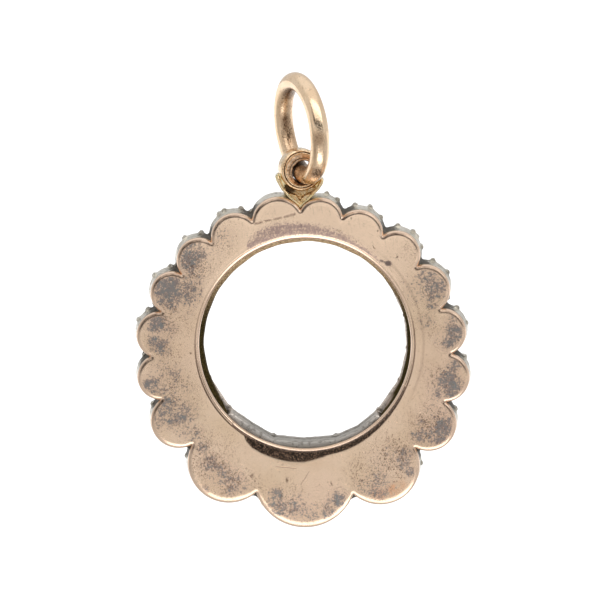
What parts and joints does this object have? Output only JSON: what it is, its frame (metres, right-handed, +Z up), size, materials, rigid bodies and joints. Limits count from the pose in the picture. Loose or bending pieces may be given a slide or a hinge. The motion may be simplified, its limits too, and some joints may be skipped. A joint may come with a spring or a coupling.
{
  "type": "circle pendant",
  "caption": "Round open pendant with a scalloped gold back plate, graduated stones in silver collets on the front, a small loop and a jump ring.",
  "frame": {"origin": "where a chain sits, at the inside top of the jump ring", "axes": "+Z up, along the hanging pendant; +Y out of the gold back, which the picture shows; the stones face -Y; +X to the left as seen from the back"},
  "size_m": [0.0242, 0.0076, 0.033],
  "materials": {
    "rose_gold": "worn rose gold with grey tarnish, flat and lightly scratched, with a rounded edge",
    "silver": "old silver, matt and darkened in its corners",
    "yellow_gold": "worn yellow gold, brown in its hollows",
    "ring_gold": "polished pale rose gold with fine wear on its inner side",
    "stone": "clear old-cut stone, faceted"
  },
  "bodies": {
    "ring": {"jump_ring": "ring_gold"},
    "pendant": {"back_plate": "rose_gold", "silver_front": "silver", "suspension_loop": "yellow_gold", "stone_01": "stone", "stone_02": "stone", "stone_03": "stone", "stone_04": "stone", "stone_05": "stone", "stone_06": "stone", "stone_07": "stone", "stone_08": "stone", "stone_09": "stone", "stone_10": "stone", "stone_11": "stone", "stone_12": "stone", "stone_13": "stone", "stone_14": "stone", "stone_15": "stone", "stone_16": "stone", "stone_17": "stone"}
  },
  "joints": [
    {"name": "pendant_swing", "type": "hinge", "parent": "ring", "child": "pendant", "pos_m": [-0.00023, -0.00122, -0.00587], "axis": [-0.3887, 0.8685, -0.3077], "range_deg": [-60, 60]}
  ]
}
